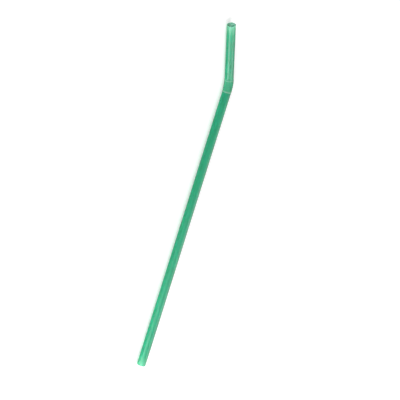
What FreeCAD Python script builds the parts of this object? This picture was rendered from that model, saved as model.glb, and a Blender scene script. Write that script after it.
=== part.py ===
"""A flexible plastic drinking straw: one thin-walled tube with a pleated bellows near its tip.

The straw lies on its side with its bend in the horizontal plane. The long leg runs along Y
with its tip end toward +Y, and the short leg turns off toward -X. The origin is the middle of
the bounding box, at floor level. All sizes are in millimetres and degrees.
"""
import FreeCAD, Part
import os
import Sketcher

NODE = "straw"

# The crests and valleys of the folds are measured from the outside of the tube.
DRIVING_SIZES = {
    "tube_diameter": 5.0,
    "wall": 0.17,
    "long_leg": 167.1,
    "short_leg": 33.9,
    "fold_count": 8,
    "crest_height": 0.15,
    "valley_depth": 0.25,
    "steep_angle": 100.0,
    "long_angle": 25.0,
    "bend_angle": 22.0,
}

# Sizes that follow from the driving ones. A "run" is a distance along the centre line.
# A fold is a steep side, a narrow crest and a long side. The steep side is past square, so it
# leans back over the valley in front of it and its run is negative. A mitre is how far a corner
# of the bore sits from the corner outside it, so that the wall is equally thick on every side.
DERIVED_SIZES = {
    "tube_radius": "sizes.tube_diameter / 2",
    "crest_radius": "derived.tube_radius + sizes.crest_height",
    "valley_radius": "derived.tube_radius - sizes.valley_depth",
    "fold_depth": "sizes.crest_height + sizes.valley_depth",
    "steep_run": "derived.fold_depth / tan(sizes.steep_angle * 1 deg)",
    "long_run": "derived.fold_depth / tan(sizes.long_angle * 1 deg)",
    "steep_mitre": "sizes.wall * tan(sizes.steep_angle / 2 * 1 deg)",
    "long_mitre": "sizes.wall * tan(sizes.long_angle / 2 * 1 deg)",
    "crest_width": "derived.steep_mitre + derived.long_mitre",
    "fold_pitch": "derived.steep_run + derived.crest_width + derived.long_run",
    "neck_run": "sizes.valley_depth / tan(sizes.long_angle * 1 deg)",
    "shoulder_run": "sizes.valley_depth / tan(sizes.steep_angle * 1 deg)",
    "first_valley": "derived.long_mitre + derived.neck_run",
    "last_valley": "derived.first_valley + sizes.fold_count * derived.fold_pitch",
    "bellows_run": "derived.last_valley + derived.shoulder_run + derived.steep_mitre",
    "bend_radius": "derived.bellows_run * 180 / (pi * sizes.bend_angle)",
    "bend_sine": "sin(sizes.bend_angle * 1 deg)",
    "bend_cosine": "cos(sizes.bend_angle * 1 deg)",
    "tip_x": "derived.bend_radius * derived.bend_cosine - sizes.short_leg * derived.bend_sine",
    "tip_y": "derived.bend_radius * derived.bend_sine + sizes.short_leg * derived.bend_cosine",
    "left_edge": "derived.tip_x - derived.tube_radius * derived.bend_cosine",
    "right_edge": "derived.bend_radius + derived.crest_radius",
    "tip_edge": "derived.tip_y + derived.tube_radius * derived.bend_sine",
}

OUTSIDE = "derived.tube_radius"
BORE = "derived.tube_radius - sizes.wall"
CREST = "derived.crest_radius"
CREST_BORE = "derived.crest_radius - sizes.wall"
VALLEY = "derived.valley_radius"
VALLEY_BORE = "derived.valley_radius - sizes.wall"

# How each circle is first drawn, before its expressions give it its own turn, reach and radius
FIRST_TURN = 1.0
FIRST_REACH = 20.0
FIRST_RADIUS = 2.0

doc = FreeCAD.newDocument("drinking_straw")


def make_sheet():
    """Put the driving sizes in a spreadsheet, each in a cell with its own name."""
    sheet = doc.addObject("Spreadsheet::Sheet", "sizes")
    for row, (name, value) in enumerate(DRIVING_SIZES.items(), start=1):
        sheet.set(f"A{row}", name)
        sheet.set(f"B{row}", str(value))
        sheet.setAlias(f"B{row}", name)
    doc.recompute()


def make_derived_sizes():
    """Keep the sizes that follow from the sheet in one set of variables."""
    derived = doc.addObject("App::VarSet", "derived")
    for name, formula in DERIVED_SIZES.items():
        derived.addProperty("App::PropertyFloat", name, "Derived")
        derived.setExpression(name, formula.replace("derived.", ""))
    doc.recompute()


def origin_feature(body, role):
    """Return one of the body's own origin planes or axes."""
    return next(item for item in body.Origin.OriginFeatures if item.Role == role)


def ring(body, name, radius, run):
    """Draw a circle square to the centre line, a given run from the foot end of the bend.

    The axis of the bend is the body's Z axis, so each circle lies in a plane through that axis.
    """
    sketch = body.newObject("Sketcher::SketchObject", name)
    sketch.AttachmentSupport = [(origin_feature(body, "XZ_Plane"), "")]
    sketch.MapMode = "FlatFace"
    turn = FreeCAD.Rotation(FreeCAD.Vector(0, 1, 0), FIRST_TURN)
    sketch.AttachmentOffset = FreeCAD.Placement(FreeCAD.Vector(0, 0, 0), turn)
    share = f"({run}) / derived.bellows_run"
    sketch.setExpression("AttachmentOffset.Rotation.Angle", f"{share} * sizes.bend_angle * 1 deg")
    first_centre = FreeCAD.Vector(FIRST_REACH, 0, 0)
    upward = FreeCAD.Vector(0, 0, 1)
    circle = sketch.addGeometry(Part.Circle(first_centre, upward, FIRST_RADIUS), False)
    sketch.addConstraint(Sketcher.Constraint("PointOnObject", circle, 3, -1))
    reach_rule = Sketcher.Constraint("DistanceX", -1, 1, circle, 3, FIRST_REACH)
    reach = sketch.addConstraint(reach_rule)
    size = sketch.addConstraint(Sketcher.Constraint("Radius", circle, FIRST_RADIUS))
    sketch.setExpression(f"Constraints[{reach}]", "derived.bend_radius")
    sketch.setExpression(f"Constraints[{size}]", radius)
    return sketch


def loft(body, name, kind, stations):
    """Join circles with straight-sided cones. A station is a circle's radius and its run."""
    rings = [
        ring(body, f"{name}_ring_{number}", radius, run)
        for number, (radius, run) in enumerate(stations, start=1)
    ]
    feature = body.newObject(f"PartDesign::{kind}", name)
    feature.Profile = rings[0]
    feature.Sections = rings[1:]
    feature.Ruled = True
    feature.Refine = False
    return feature


def tube(body, name, kind, radius, run, length, toward_tip):
    """Add or cut a straight round length that starts square to the centre line."""
    feature = body.newObject(f"PartDesign::{kind}", name)
    feature.Profile = ring(body, f"{name}_ring", radius, run)
    feature.setExpression("Length", length)
    feature.Reversed = toward_tip
    feature.Refine = False
    return feature


def add_outside(body):
    """Build the solid form of the long leg, the neck that leads into the first fold, and the fold."""
    tube(body, "long_leg_outside", "Pad", OUTSIDE, "0", "sizes.long_leg", False)
    loft(body, "neck_outside", "AdditiveLoft", [
        (OUTSIDE, "0"),
        (OUTSIDE, "derived.long_mitre"),
        (VALLEY, "derived.first_valley"),
    ])
    start = "derived.first_valley"
    return loft(body, "fold_outside", "AdditiveLoft", [
        (VALLEY, start),
        (CREST, f"{start} + derived.steep_run"),
        (CREST, f"{start} + derived.steep_run + derived.crest_width"),
        (VALLEY, f"{start} + derived.fold_pitch"),
    ])


def cut_fold_bore(body):
    """Cut the inside of one fold, which follows its outside at the wall's thickness."""
    start = "derived.first_valley + derived.steep_mitre"
    return loft(body, "fold_bore", "SubtractiveLoft", [
        (VALLEY_BORE, start),
        (CREST_BORE, f"{start} + derived.steep_run"),
        (VALLEY_BORE, f"{start} + derived.steep_run + derived.long_run"),
        (VALLEY_BORE, f"{start} + derived.fold_pitch"),
    ])


def repeat_fold(body, name, original):
    """Repeat one feature of the fold around the axis of the bend, once for each fold."""
    pattern = body.newObject("PartDesign::PolarPattern", name)
    pattern.Originals = [original]
    pattern.Axis = (origin_feature(body, "Z_Axis"), [""])
    pattern.Mode = "Spacing"
    turn = "derived.fold_pitch / derived.bellows_run * sizes.bend_angle * 1 deg"
    pattern.setExpression("Offset", turn)
    pattern.setExpression("Occurrences", "sizes.fold_count")
    pattern.Refine = False
    body.Tip = pattern
    return pattern


def add_tip_side(body):
    """Add the shoulder after the last fold and the short leg beyond it."""
    loft(body, "shoulder_outside", "AdditiveLoft", [
        (VALLEY, "derived.last_valley"),
        (OUTSIDE, "derived.last_valley + derived.shoulder_run"),
        (OUTSIDE, "derived.bellows_run"),
    ])
    tube(body, "short_leg_outside", "Pad", OUTSIDE, "derived.bellows_run", "sizes.short_leg", True)


def cut_leg_bores(body):
    """Cut the bore through both legs, the neck and the shoulder."""
    tube(body, "long_leg_bore", "Pocket", BORE, "0", "sizes.long_leg", True)
    loft(body, "neck_bore", "SubtractiveLoft", [
        (BORE, "0"),
        (VALLEY_BORE, "derived.neck_run"),
        (VALLEY_BORE, "derived.first_valley + derived.steep_mitre"),
    ])
    loft(body, "shoulder_bore", "SubtractiveLoft", [
        (VALLEY_BORE, "derived.last_valley + derived.steep_mitre"),
        (BORE, "derived.bellows_run"),
    ])
    run = "derived.bellows_run"
    tube(body, "short_leg_bore", "Pocket", BORE, run, "sizes.short_leg", False)


def place(body):
    """Move the body so that the middle of its bounding box is the origin, and it rests at zero."""
    body.setExpression("Placement.Base.x", "-(derived.left_edge + derived.right_edge) / 2")
    body.setExpression("Placement.Base.y", "(sizes.long_leg - derived.tip_edge) / 2")
    body.setExpression("Placement.Base.z", "derived.crest_radius")


def make_straw():
    """Build the straw as one body."""
    body = doc.addObject("PartDesign::Body", NODE)
    body.Label = NODE
    fold = add_outside(body)
    doc.recompute()
    repeat_fold(body, "folds_outside", fold)
    doc.recompute()
    add_tip_side(body)
    doc.recompute()
    fold_bore = cut_fold_bore(body)
    doc.recompute()
    repeat_fold(body, "folds_bore", fold_bore)
    doc.recompute()
    cut_leg_bores(body)
    place(body)
    doc.recompute()
    return body


def check(body):
    """Stop if any object failed, or if the straw isn't one sound solid."""
    failed = [item.Name for item in doc.Objects if {"Invalid", "Error"} & set(item.State)]
    if failed:
        raise RuntimeError(f"objects failed: {failed}")
    shape = body.Shape
    if shape.isNull() or not shape.isValid() or len(shape.Solids) != 1:
        raise RuntimeError("the straw isn't one sound solid")


make_sheet()
make_derived_sizes()
straw = make_straw()
check(straw)
os.makedirs("parts", exist_ok=True)
straw.Shape.exportStep(f"parts/{straw.Label}.step")
box = straw.Shape.optimalBoundingBox(True, False)
print(f"{straw.Label}: {box.XLength:.2f} x {box.YLength:.2f} x {box.ZLength:.2f} mm")
print(f"volume {straw.Shape.Volume:.2f} mm3, faces {len(straw.Shape.Faces)}")
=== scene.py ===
"""Looks of a green flexible drinking straw that lies on a white floor. Sizes are in metres."""
import math

import bmesh
import bpy
from mathutils import Matrix, Vector


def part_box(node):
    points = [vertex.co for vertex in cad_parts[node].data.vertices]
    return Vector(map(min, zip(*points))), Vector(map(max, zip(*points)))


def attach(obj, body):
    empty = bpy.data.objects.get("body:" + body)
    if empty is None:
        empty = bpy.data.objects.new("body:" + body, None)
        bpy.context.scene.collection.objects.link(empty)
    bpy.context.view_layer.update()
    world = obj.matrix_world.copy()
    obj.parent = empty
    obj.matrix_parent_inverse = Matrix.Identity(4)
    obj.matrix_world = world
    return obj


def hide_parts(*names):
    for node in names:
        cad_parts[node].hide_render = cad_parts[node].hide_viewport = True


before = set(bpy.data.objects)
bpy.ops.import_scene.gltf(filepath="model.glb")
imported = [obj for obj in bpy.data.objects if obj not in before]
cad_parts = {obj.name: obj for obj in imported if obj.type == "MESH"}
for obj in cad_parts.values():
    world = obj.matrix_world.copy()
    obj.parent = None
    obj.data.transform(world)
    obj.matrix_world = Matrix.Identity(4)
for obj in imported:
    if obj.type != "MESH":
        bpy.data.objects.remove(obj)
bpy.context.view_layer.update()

MM = 0.001
NODE = "straw"
UP = Vector((0, 0, 1))

# The straw's own sizes
TUBE_RADIUS = 2.5 * MM
CREST_RADIUS = 2.65 * MM
VALLEY_RADIUS = 2.25 * MM
WALL = 0.17 * MM
LONG_LEG = 167.1 * MM
SHORT_LEG = 33.9 * MM
FOLD_COUNT = 8
STEEP_ANGLE = math.radians(100.0)
LONG_ANGLE = math.radians(25.0)
BEND_ANGLE = math.radians(22.0)

# Runs along the centre line, counted from the foot end of the bend
FOLD_DEPTH = CREST_RADIUS - VALLEY_RADIUS
NECK_DEPTH = TUBE_RADIUS - VALLEY_RADIUS
STEEP_RUN = FOLD_DEPTH / math.tan(STEEP_ANGLE)
LONG_RUN = FOLD_DEPTH / math.tan(LONG_ANGLE)
STEEP_MITRE = WALL * math.tan(STEEP_ANGLE / 2)
LONG_MITRE = WALL * math.tan(LONG_ANGLE / 2)
FOLD_PITCH = STEEP_RUN + STEEP_MITRE + LONG_MITRE + LONG_RUN
NECK_RUN = NECK_DEPTH / math.tan(LONG_ANGLE)
SHOULDER_RUN = NECK_DEPTH / math.tan(STEEP_ANGLE)
FIRST_VALLEY = LONG_MITRE + NECK_RUN
LAST_VALLEY = FIRST_VALLEY + FOLD_COUNT * FOLD_PITCH
BELLOWS_RUN = LAST_VALLEY + SHOULDER_RUN + STEEP_MITRE
BEND_RADIUS = BELLOWS_RUN / BEND_ANGLE
FOOT = -LONG_LEG
TIP = BELLOWS_RUN + SHORT_LEG

# How finely the surface is divided, how far its corners are rounded, and the largest share of the
# way to the next corner that a rounded one may take
SIDES = 96
CORNER_STEPS = 4
LEG_STEP = 4.0 * MM
ROUNDING = 0.05 * MM
ROUNDING_SHARE = 0.4

# How whitened the plastic is where it is cut or stretched: at its two ends, and at the crests of
# the folds, of which the first and the last are stretched furthest. At the mouth's end and on the
# first and last crests the pale colour is partly painted light too: a painted glow at the open end
# and painted highlights on those two rings. The whitening fades over a short reach. Inside the
# mouth
# it is stronger and reaches further: there it is painted light, in place of the light that comes in
# through the thin wall.
MOUTH_WHITENING_AND_LIGHT = 0.9
FOOT_WORK = 0.5
CUT_REACH = 6.0 * MM
MOUTH_BORE_WHITENING_AND_LIGHT = 2.0
MOUTH_BORE_LIGHT_REACH = 20.0 * MM
FOLD_WORK = 0.3
FIRST_FOLD_WHITENING_AND_HIGHLIGHT = 1.6
LAST_FOLD_WHITENING_AND_HIGHLIGHT = 1.0
VALLEY_WORK = 0.1
FOLD_REACH = 0.4 * MM

# The centre of the bend, placed from the box of the solid that this mesh stands for
LOW, HIGH = (Vector(corner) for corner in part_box(NODE))
BEND_CENTRE = Vector((
    HIGH.x - CREST_RADIUS - BEND_RADIUS,
    LOW.y + LONG_LEG,
    (LOW.z + HIGH.z) / 2,
))

# Where the camera looks from and at what, how far off and how long its lens is in millimetres
VIEW_AZIMUTH = math.radians(158.8)
VIEW_ELEVATION = math.radians(34.0)
VIEW_ROLL = math.radians(119.7)
VIEW_DISTANCE = 1.516
VIEW_LENS = 244.8
VIEW_TARGET = Vector((0.01387, -0.00220, 0.0024))
NEAREST_SEEN = 0.01

# Colours as linear values. The pale green is that of cut and stretched plastic; it also paints the
# light in and at the mouth and the highlights on the first and last crests.
WHITE = (1.0, 1.0, 1.0, 1.0)
GREEN = (0.002, 0.370, 0.168, 1.0)
DEEP_GREEN = (0.002, 0.335, 0.148, 1.0)
PALE_GREEN = (0.30, 0.64, 0.42, 1.0)

# The plastic's gloss, and how far red, green and blue light spread in it
PLASTIC = {
    "IOR": 1.49,
    "Specular IOR Level": 0.33,
    "Subsurface Weight": 1.0,
    "Subsurface Radius": (0.5, 1.0, 0.8),
    "Subsurface Scale": 1.5 * MM,
}
ROUGHNESS_LIMITS = (0.29, 0.37)
STREAK_STRENGTH = 0.08
STREAK_DEPTH = 0.02 * MM

# How fast each pattern changes across the tube, per radius, and along it, per metre; how fine its
# detail is; the middle part of a noise's range that is used; and the limits of the pale mix, which
# is partly whitening and partly painted light
STREAKS = ((9.0, 9.0, 30.0), 3.0)
CLOUDS = ((1.5, 1.5, 60.0), 2.0)
SCUFFS = ((30.0, 30.0, 3000.0), 4.0)
NOISE_LIMITS = (0.3, 0.7)
FULL_LIMITS = (0.0, 1.0)
PALE_MIX_LIMITS = (0.35, 0.65)

# The stage: the floor's reflected white, its added white beside the straw and far from the lamps,
# the two distances between which that rises, the floor's half side, and the world's light
FLOOR_WHITE = 0.8
LIFT_LIMITS = (0.34, 0.86)
LIFT_REACHES = (0.08, 0.6)
FLOOR_REACH = 3.0
WORLD_LIGHT = 0.18

# The bow of panels: how each is turned round the short leg, its power, the slant of its light to
# that leg, how far off it stands, and its size round the leg and along the slant
BOW_TURNS = [math.radians(turn) for turn in (65.0, 85.0, 105.0, 125.0, 145.0, 165.0)]
BOW_POWERS = (2.6, 2.0, 1.9, 1.1, 0.3, 2.4)
BOW_SLANT = math.radians(55.5)
BOW_REACH = 1.2
BOW_WIDTH = 0.35
BOW_HEIGHT = 0.12

# What the small lamps face: a point beyond the foot, and the mouth
FOOT_AIM = Vector((0.007, -0.17, 0.0026))
MOUTH_AIM = Vector((-0.0146, 0.1035, 0.0026))

# The small lamps: where each stands, what it faces, its width, its height and its power
SMALL_LAMPS = {
    "foot_lamp_far": (Vector((-0.279, -0.268, 0.043)), FOOT_AIM, 0.10, 0.07, 0.85),
    "foot_lamp_near": (Vector((-0.122, -0.207, 0.037)), FOOT_AIM, 0.12, 0.05, 0.03),
    "foot_lamp_high": (Vector((-0.168, -0.227, 0.150)), FOOT_AIM, 0.22, 0.08, 0.34),
    "mouth_lamp": (Vector((-0.106, 0.195, 0.079)), MOUTH_AIM, 0.08, 0.08, 0.17),
}


def crest_whitening_and_highlight(number):
    """How pale the crest of a fold is: whitening, and on the first and last folds a painted
    highlight too.
    """
    if number == 0:
        return FIRST_FOLD_WHITENING_AND_HIGHLIGHT
    if number == FOLD_COUNT - 1:
        return LAST_FOLD_WHITENING_AND_HIGHLIGHT
    return FOLD_WORK


def outer_corners():
    """Corners of the outside from foot to tip: a run, a radius, and how pale the plastic is, from
    whitening and painted light.
    """
    corners = [
        (FOOT, TUBE_RADIUS, FOOT_WORK),
        (FOOT + CUT_REACH, TUBE_RADIUS, 0.0),
        (LONG_MITRE - FOLD_REACH, TUBE_RADIUS, 0.0),
        (LONG_MITRE, TUBE_RADIUS, VALLEY_WORK),
        (FIRST_VALLEY, VALLEY_RADIUS, 0.0),
    ]
    for number in range(FOLD_COUNT):
        start = FIRST_VALLEY + number * FOLD_PITCH
        corners += [
            # Crest paleness: whitening, with a painted highlight on the first and last folds
            (start + STEEP_RUN, CREST_RADIUS, crest_whitening_and_highlight(number)),
            (start + FOLD_PITCH - LONG_RUN, CREST_RADIUS, crest_whitening_and_highlight(number)),
            (start + FOLD_PITCH, VALLEY_RADIUS, VALLEY_WORK),
        ]
    corners += [
        (LAST_VALLEY + SHOULDER_RUN, TUBE_RADIUS, FOLD_WORK),
        (BELLOWS_RUN + FOLD_REACH, TUBE_RADIUS, 0.0),
        (TIP - CUT_REACH, TUBE_RADIUS, 0.0),
        # Pale at the mouth's end: cut whitening, and a painted glow of light through the open end
        (TIP, TUBE_RADIUS, MOUTH_WHITENING_AND_LIGHT),
    ]
    return corners


def inner_corners():
    """Corners of the bore from foot to tip, one wall's thickness in from the outside."""
    bore = TUBE_RADIUS - WALL
    crest = CREST_RADIUS - WALL
    valley = VALLEY_RADIUS - WALL
    corners = [
        (FOOT, bore, FOOT_WORK),
        (FOOT + CUT_REACH, bore, 0.0),
        (0.0, bore, 0.0),
        (NECK_RUN, valley, VALLEY_WORK),
        (FIRST_VALLEY + STEEP_MITRE, valley, VALLEY_WORK),
    ]
    for number in range(FOLD_COUNT):
        start = FIRST_VALLEY + STEEP_MITRE + number * FOLD_PITCH
        corners += [
            (start + STEEP_RUN, crest, crest_whitening_and_highlight(number)),
            (start + STEEP_RUN + LONG_RUN, valley, VALLEY_WORK),
            (start + FOLD_PITCH, valley, VALLEY_WORK),
        ]
    corners += [
        (BELLOWS_RUN, bore, VALLEY_WORK),
        (BELLOWS_RUN + FOLD_REACH, bore, 0.0),
        # Painted light: the bore is painted pale far in from the mouth, in place of light through
        # the wall
        (TIP - MOUTH_BORE_LIGHT_REACH, bore, 0.0),
        (TIP, bore, MOUTH_BORE_WHITENING_AND_LIGHT),
    ]
    return corners


def distance(one, other):
    """How far apart two corners are in run and radius, whatever their third value."""
    return (one.xy - other.xy).length


def reach_share(corner, neighbour):
    """The share of the way to a neighbour at which a corner's curve starts."""
    return min(ROUNDING / distance(corner, neighbour), ROUNDING_SHARE)


def round_corners(corners):
    """Replace each corner of a closed outline by a short curve, and divide its long runs."""
    points = [Vector(corner) for corner in corners]
    outline = []
    for number, corner in enumerate(points):
        before = points[number - 1]
        after = points[(number + 1) % len(points)]
        start = corner + (before - corner) * reach_share(corner, before)
        end = corner + (after - corner) * reach_share(corner, after)
        for step in range(CORNER_STEPS + 1):
            share = step / CORNER_STEPS
            outline.append(start.lerp(corner, share).lerp(corner.lerp(end, share), share))
        next_start = after + (corner - after) * reach_share(after, corner)
        pieces = max(1, round(distance(corner, after) / LEG_STEP))
        for piece in range(1, pieces):
            outline.append(end.lerp(next_start, piece / pieces))
    return outline


def centre_and_spoke(run):
    """The point of the centre line at a run, and the direction away from the bend's centre."""
    turn = min(max(run, 0.0), BELLOWS_RUN) / BEND_RADIUS
    spoke = Vector((math.cos(turn), math.sin(turn), 0.0))
    beyond = min(run, 0.0) + max(run - BELLOWS_RUN, 0.0)
    return BEND_CENTRE + spoke * BEND_RADIUS + ahead_of(spoke) * beyond, spoke


def ahead_of(spoke):
    """The direction of the centre line toward the tip, square to a spoke."""
    return Vector((-spoke.y, spoke.x, 0.0))


def add_ring(shell, whitening_and_light, grain, point):
    """Add the ring of vertices at one point of the outline, with their two attributes."""
    run, radius, whitening_and_light_share = point
    centre, spoke = centre_and_spoke(run)
    ring = []
    for side in range(SIDES):
        angle = math.tau * side / SIDES
        outward = spoke * math.cos(angle) + UP * math.sin(angle)
        vertex = shell.verts.new(centre + outward * radius)
        vertex[whitening_and_light] = whitening_and_light_share
        vertex[grain] = Vector((math.cos(angle), math.sin(angle), run))
        ring.append(vertex)
    return ring


def make_straw_mesh():
    """Sweep the closed outline of the wall round the centre line."""
    outline = round_corners(outer_corners() + inner_corners()[::-1])
    shell = bmesh.new()
    # The pale share per vertex, from whitening and from painted light and highlights
    whitening_and_light = shell.verts.layers.float.new("whitening_and_light")
    grain = shell.verts.layers.float_vector.new("grain")
    rings = [add_ring(shell, whitening_and_light, grain, point) for point in outline]
    for number, ring in enumerate(rings):
        following = rings[(number + 1) % len(rings)]
        for side in range(SIDES):
            other = (side + 1) % SIDES
            shell.faces.new((ring[side], ring[other], following[other], following[side]))
    bmesh.ops.recalc_face_normals(shell, faces=shell.faces)
    mesh = make_mesh("straw_tube", shell)
    mesh.shade_smooth()
    return mesh


def make_mesh(name, shell):
    """Turn a finished shell into a mesh."""
    mesh = bpy.data.meshes.new(name)
    shell.to_mesh(mesh)
    shell.free()
    return mesh


def add_object(name, data):
    """Put a new object in the scene."""
    item = bpy.data.objects.new(name, data)
    bpy.context.collection.objects.link(item)
    return item


def make_material(name):
    """Make a material, and return it with its node tree and its shader."""
    material = bpy.data.materials.new(name)
    material.use_nodes = True
    return material, material.node_tree, material.node_tree.nodes["Principled BSDF"]


def set_inputs(node, values):
    """Set a node's inputs by name."""
    for name, value in values.items():
        node.inputs[name].default_value = value


def add_node(tree, kind, **settings):
    """Add a shader node with its settings."""
    node = tree.nodes.new(kind)
    for name, value in settings.items():
        setattr(node, name, value)
    return node


def attribute(tree, name, output):
    """Read one of the mesh's own attributes."""
    return add_node(tree, "ShaderNodeAttribute", attribute_name=name).outputs[output]


def noise(tree, vector, pattern):
    """Return a noise over a vector, with the pattern's three factors and its detail."""
    factors, detail = pattern
    scaled = add_node(tree, "ShaderNodeVectorMath", operation="MULTIPLY")
    scaled.inputs[1].default_value = factors
    tree.links.new(vector, scaled.inputs[0])
    texture = add_node(tree, "ShaderNodeTexNoise")
    set_inputs(texture, {"Scale": 1.0, "Detail": detail})
    tree.links.new(scaled.outputs[0], texture.inputs["Vector"])
    return texture.outputs["Fac"]


def map_range(tree, value, given, wanted):
    """Map what lies between two given limits to two wanted ones."""
    node = add_node(tree, "ShaderNodeMapRange")
    set_inputs(node, {"From Min": given[0], "From Max": given[1]})
    set_inputs(node, {"To Min": wanted[0], "To Max": wanted[1]})
    tree.links.new(value, node.inputs["Value"])
    return node.outputs["Result"]


def calculate(tree, operation, one, other):
    """Combine two outputs by one operation."""
    node = add_node(tree, "ShaderNodeMath", operation=operation)
    tree.links.new(one, node.inputs[0])
    tree.links.new(other, node.inputs[1])
    return node.outputs[0]


def mix_colours(tree, factor, first, second):
    """Mix two colours, of which the first may be a fixed colour or another output."""
    mix = add_node(tree, "ShaderNodeMix", data_type="RGBA")
    sockets = {socket.identifier: socket for socket in mix.inputs}
    tree.links.new(factor, sockets["Factor_Float"])
    if isinstance(first, tuple):
        sockets["A_Color"].default_value = first
    else:
        tree.links.new(first, sockets["A_Color"])
    sockets["B_Color"].default_value = second
    return next(socket for socket in mix.outputs if socket.identifier == "Result_Color")


def make_plastic():
    """Extruded polypropylene: satin, slightly translucent, with faint streaks along the tube."""
    material, tree, shader = make_material("green_polypropylene")
    set_inputs(shader, PLASTIC)
    grain = attribute(tree, "grain", "Vector")
    whitening_and_light = attribute(tree, "whitening_and_light", "Fac")
    streaks = noise(tree, grain, STREAKS)
    clouds = noise(tree, grain, CLOUDS)
    scuffs = noise(tree, grain, SCUFFS)

    depth = map_range(tree, clouds, NOISE_LIMITS, FULL_LIMITS)
    green = mix_colours(tree, depth, GREEN, DEEP_GREEN)
    # Paler where the plastic is whitened, and where light is painted: in and at the mouth, and
    # highlights on the first and last crests
    evenness = map_range(tree, scuffs, NOISE_LIMITS, PALE_MIX_LIMITS)
    whitening_and_light_mix = calculate(tree, "MULTIPLY", whitening_and_light, evenness)
    tree.links.new(mix_colours(tree, whitening_and_light_mix, green, PALE_GREEN), shader.inputs["Base Color"])
    roughness = map_range(tree, streaks, NOISE_LIMITS, ROUGHNESS_LIMITS)
    tree.links.new(roughness, shader.inputs["Roughness"])

    bump = add_node(tree, "ShaderNodeBump")
    set_inputs(bump, {"Strength": STREAK_STRENGTH, "Distance": STREAK_DEPTH})
    tree.links.new(streaks, bump.inputs["Height"])
    tree.links.new(bump.outputs["Normal"], shader.inputs["Normal"])
    return material


def seen_directly(tree):
    """One for what the camera sees, also by reflection or through clear plastic, else zero."""
    path = add_node(tree, "ShaderNodeLightPath")
    total = path.outputs["Is Camera Ray"]
    for name in ("Is Glossy Ray", "Is Transmission Ray"):
        total = calculate(tree, "MAXIMUM", total, path.outputs[name])
    return total


def make_white():
    """A matt white that also adds some white of its own, less of it near the straw."""
    material, tree, shader = make_material("white_floor")
    set_inputs(shader, {
        "Base Color": (FLOOR_WHITE, FLOOR_WHITE, FLOOR_WHITE, 1.0),
        "Roughness": 1.0,
        "Specular IOR Level": 0.0,
        "Emission Color": WHITE,
    })
    place = add_node(tree, "ShaderNodeTexCoord").outputs["Object"]
    reach = add_node(tree, "ShaderNodeVectorMath", operation="LENGTH")
    tree.links.new(place, reach.inputs[0])
    lift = map_range(tree, reach.outputs["Value"], LIFT_REACHES, LIFT_LIMITS)
    seen_lift = calculate(tree, "MULTIPLY", seen_directly(tree), lift)
    tree.links.new(seen_lift, shader.inputs["Emission Strength"])
    return material


def add_floor():
    """Add a white floor that keeps the straw's shadow and otherwise reads as plain white."""
    sheet = bmesh.new()
    bmesh.ops.create_grid(sheet, x_segments=1, y_segments=1, size=FLOOR_REACH)
    mesh = make_mesh("floor", sheet)
    mesh.materials.append(make_white())
    floor = add_object("floor", mesh)
    floor.location.z = LOW.z


def make_world():
    """Soft even light from all round, seen as plain white."""
    world = bpy.data.worlds.new("studio")
    world.use_nodes = True
    tree = world.node_tree
    background = tree.nodes["Background"]
    background.inputs["Color"].default_value = WHITE
    strength = map_range(tree, seen_directly(tree), FULL_LIMITS, (WORLD_LIGHT, 1.0))
    tree.links.new(strength, background.inputs["Strength"])
    bpy.context.scene.world = world


def add_lamp(name, place, facing, width, height, power):
    """Add a soft lamp at a place. The columns of facing are its width, its height and its back."""
    light = bpy.data.lights.new(name, "AREA")
    light.shape = "RECTANGLE"
    light.size = width
    light.size_y = height
    light.energy = power
    add_object(name, light).matrix_world = Matrix.Translation(place) @ facing.to_4x4()


def add_bow():
    """Add a bow of soft panels round the short leg, which give it a broad even sheen.

    The panels stand on a cone about the short leg, and the camera sees all of them mirrored in
    it. The long leg has another slant, so it mirrors none of them to the camera.
    """
    middle, spoke = centre_and_spoke(BELLOWS_RUN + SHORT_LEG / 2)
    for turn, power in zip(BOW_TURNS, BOW_POWERS):
        across = spoke * math.cos(turn) + UP * math.sin(turn)
        around = UP * math.cos(turn) - spoke * math.sin(turn)
        line = across * math.sin(BOW_SLANT) - ahead_of(spoke) * math.cos(BOW_SLANT)
        facing = Matrix((around, line.cross(around), line)).transposed()
        place = middle + line * BOW_REACH
        number = round(math.degrees(turn))
        add_lamp(f"bow_lamp_{number}", place, facing, BOW_WIDTH, BOW_HEIGHT, power)


def add_small_lamps():
    """Add the small lamps, each with its width level."""
    for name, (place, aim, width, height, power) in SMALL_LAMPS.items():
        back = (place - aim).normalized()
        level = UP.cross(back).normalized()
        facing = Matrix((level, back.cross(level), back)).transposed()
        add_lamp(name, place, facing, width, height, power)


def add_camera():
    """Look down on the straw from its tip's side, rolled so that the tip is at the top."""
    back = Vector((
        math.cos(VIEW_ELEVATION) * math.cos(VIEW_AZIMUTH),
        math.cos(VIEW_ELEVATION) * math.sin(VIEW_AZIMUTH),
        math.sin(VIEW_ELEVATION),
    ))
    level_right = UP.cross(back).normalized()
    level_up = back.cross(level_right)
    right = level_right * math.cos(VIEW_ROLL) + level_up * math.sin(VIEW_ROLL)
    up = level_up * math.cos(VIEW_ROLL) - level_right * math.sin(VIEW_ROLL)
    facing = Matrix((right, up, back)).transposed().to_4x4()
    camera = add_object("camera", bpy.data.cameras.new("camera"))
    camera.data.lens = VIEW_LENS
    camera.data.clip_start = NEAREST_SEEN
    camera.matrix_world = Matrix.Translation(VIEW_TARGET + back * VIEW_DISTANCE) @ facing
    bpy.context.scene.camera = camera


def add_straw():
    """Put the swept straw in the place of its plain solid."""
    mesh = make_straw_mesh()
    mesh.materials.append(make_plastic())
    straw = add_object("straw_tube", mesh)
    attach(straw, "root")
    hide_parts(NODE)


add_straw()
add_floor()
make_world()
add_bow()
add_small_lamps()
add_camera()
bpy.context.scene.view_settings.view_transform = "Standard"
